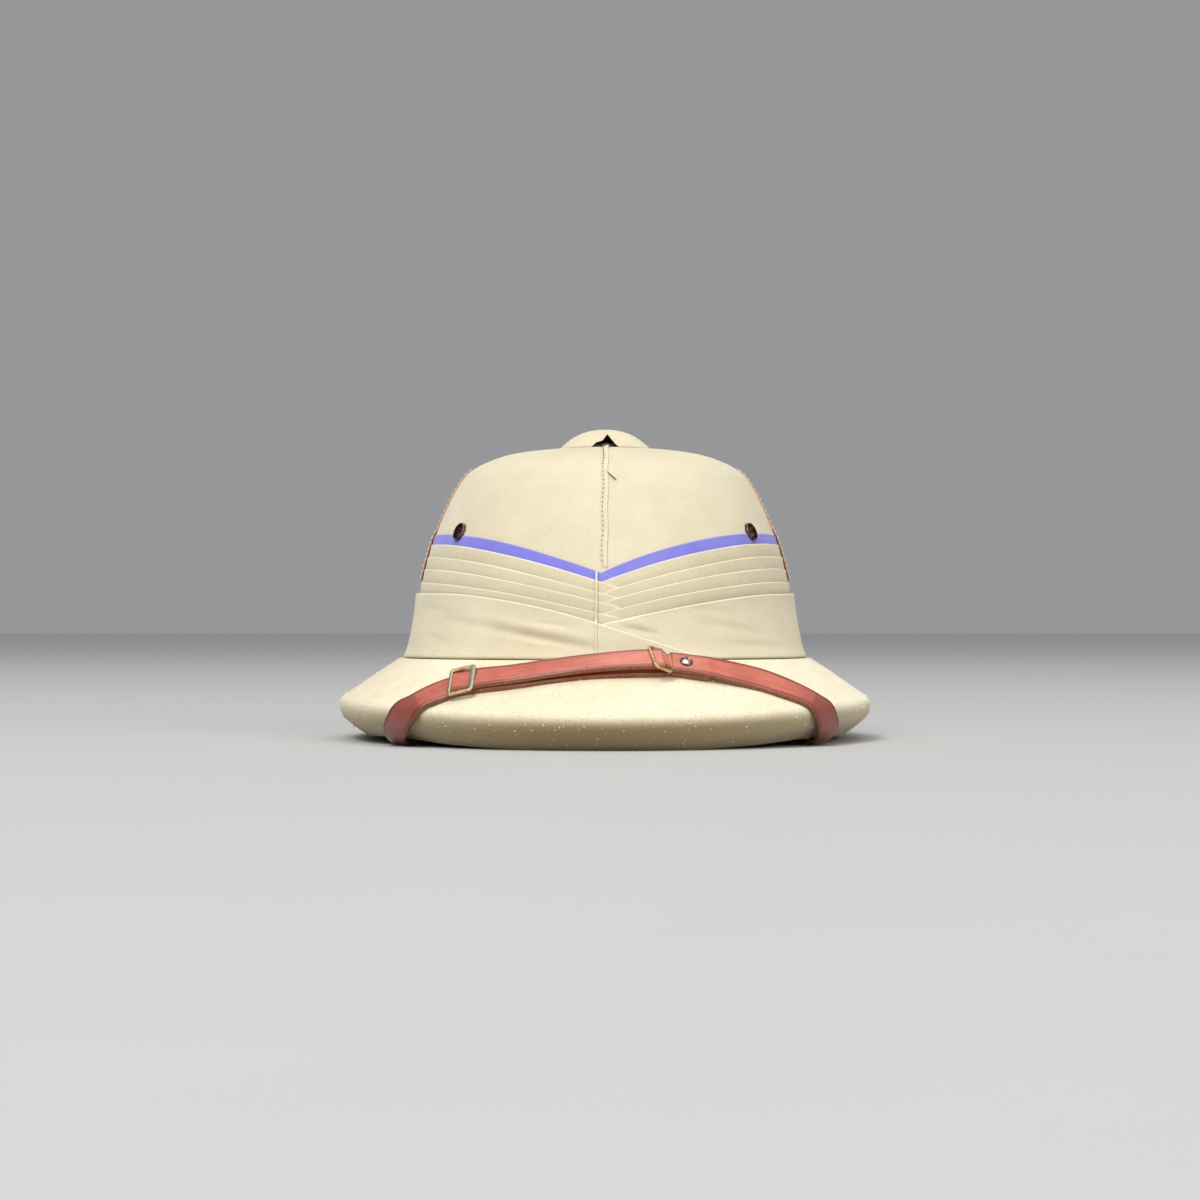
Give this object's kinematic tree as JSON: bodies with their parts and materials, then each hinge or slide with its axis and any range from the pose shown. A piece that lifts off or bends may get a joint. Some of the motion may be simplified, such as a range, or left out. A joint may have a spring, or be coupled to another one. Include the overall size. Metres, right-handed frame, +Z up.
{
  "type": "pith helmet",
  "caption": "Pith sun helmet with a thick crown and sloping brim, a folded cloth band, a top ventilator, side eyelets and a leather chin strap laid over the brim.",
  "frame": {"origin": "centre of the plan, on the surface that the rim rests on", "axes": "+Z up, front of the helmet towards -Y, +X to the right as seen from the front"},
  "size_m": [0.292, 0.3374, 0.1705],
  "materials": {
    "cover_cloth": "plain-woven khaki cotton, matt",
    "brim_cloth": "brushed khaki cotton, pilled, matt",
    "band_cloth": "fine khaki cotton, folded, matt",
    "colour_cloth": "fine blue-violet cotton, matt",
    "leather": "red-brown strap leather, worn satin",
    "tan_binding": "thin tan leather, matt",
    "brass": "worn brass wire",
    "dark_metal": "dark japanned metal",
    "zinc": "dull grey plated metal"
  },
  "bodies": {
    "root": {"crown": "cover_cloth", "brim": "brim_cloth", "colour_fold": "colour_cloth", "fold_1": "band_cloth", "fold_2": "band_cloth", "fold_3": "band_cloth", "fold_4": "band_cloth", "lower_wrap": "band_cloth", "front_cord": "cover_cloth", "front_seam_lap": "cover_cloth", "back_seam_lap": "cover_cloth", "side_binding_left": "tan_binding", "side_binding_right": "tan_binding", "ventilator_cap": "cover_cloth", "ventilator_collar": "zinc", "eyelet_left": "dark_metal", "eyelet_right": "dark_metal", "chin_strap_left": "leather", "chin_strap_top": "leather", "chin_strap_right": "leather", "slide_buckle": "zinc", "end_loop": "brass", "strap_rivet": "dark_metal", "strap_anchor_left": "dark_metal", "strap_anchor_right": "dark_metal"}
  },
  "joints": []
}
